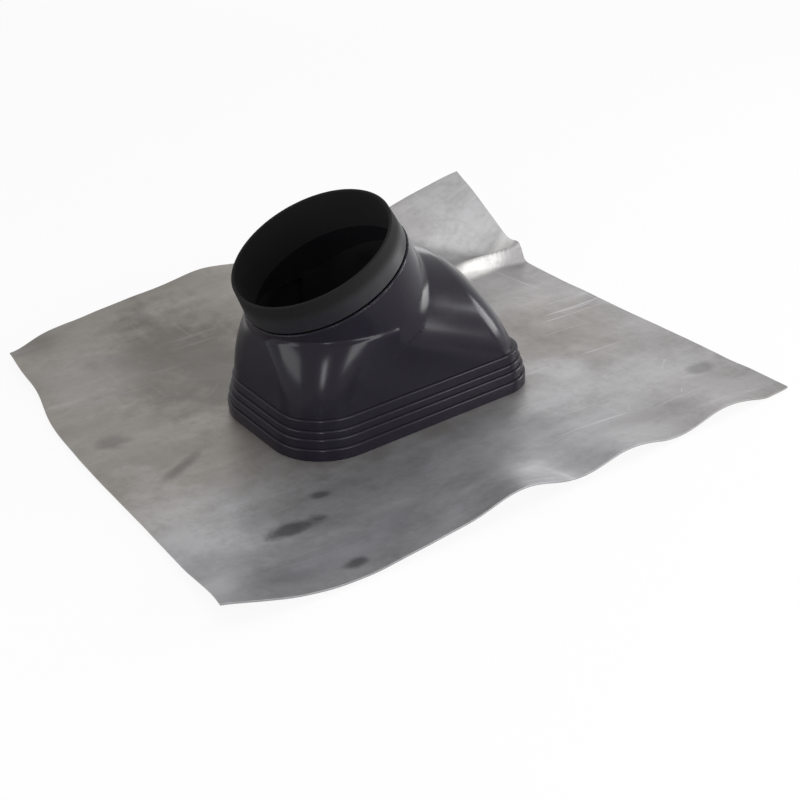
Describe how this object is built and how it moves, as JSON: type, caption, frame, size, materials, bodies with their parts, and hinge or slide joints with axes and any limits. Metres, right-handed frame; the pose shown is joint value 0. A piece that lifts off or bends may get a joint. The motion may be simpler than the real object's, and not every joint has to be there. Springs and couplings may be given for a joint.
{
  "type": "pipe flashing boot",
  "caption": "Black moulded hood with an inclined pipe collar and stepped foot, set in a dressed lead roofing sheet with one corner bent up.",
  "frame": {"origin": "middle of the sheet's outline box, on the plane that the sheet lies on", "axes": "+Z away from the roof, +X down the roof slope, +Y across it"},
  "size_m": [0.536, 0.4969, 0.1735],
  "materials": {
    "lead": "dull grey, mottled and lightly scratched",
    "black_plastic": "glossy black moulding with a slight blue tint",
    "black_ring": "satin black moulding",
    "frame_plastic": "matt black moulding",
    "steel": "plain stainless screws"
  },
  "bodies": {
    "root": {"lead_sheet": "lead", "hood": "black_plastic", "collar_ring": "black_ring", "clamp_frame": "frame_plastic", "clamp_screws": "steel"}
  },
  "joints": []
}
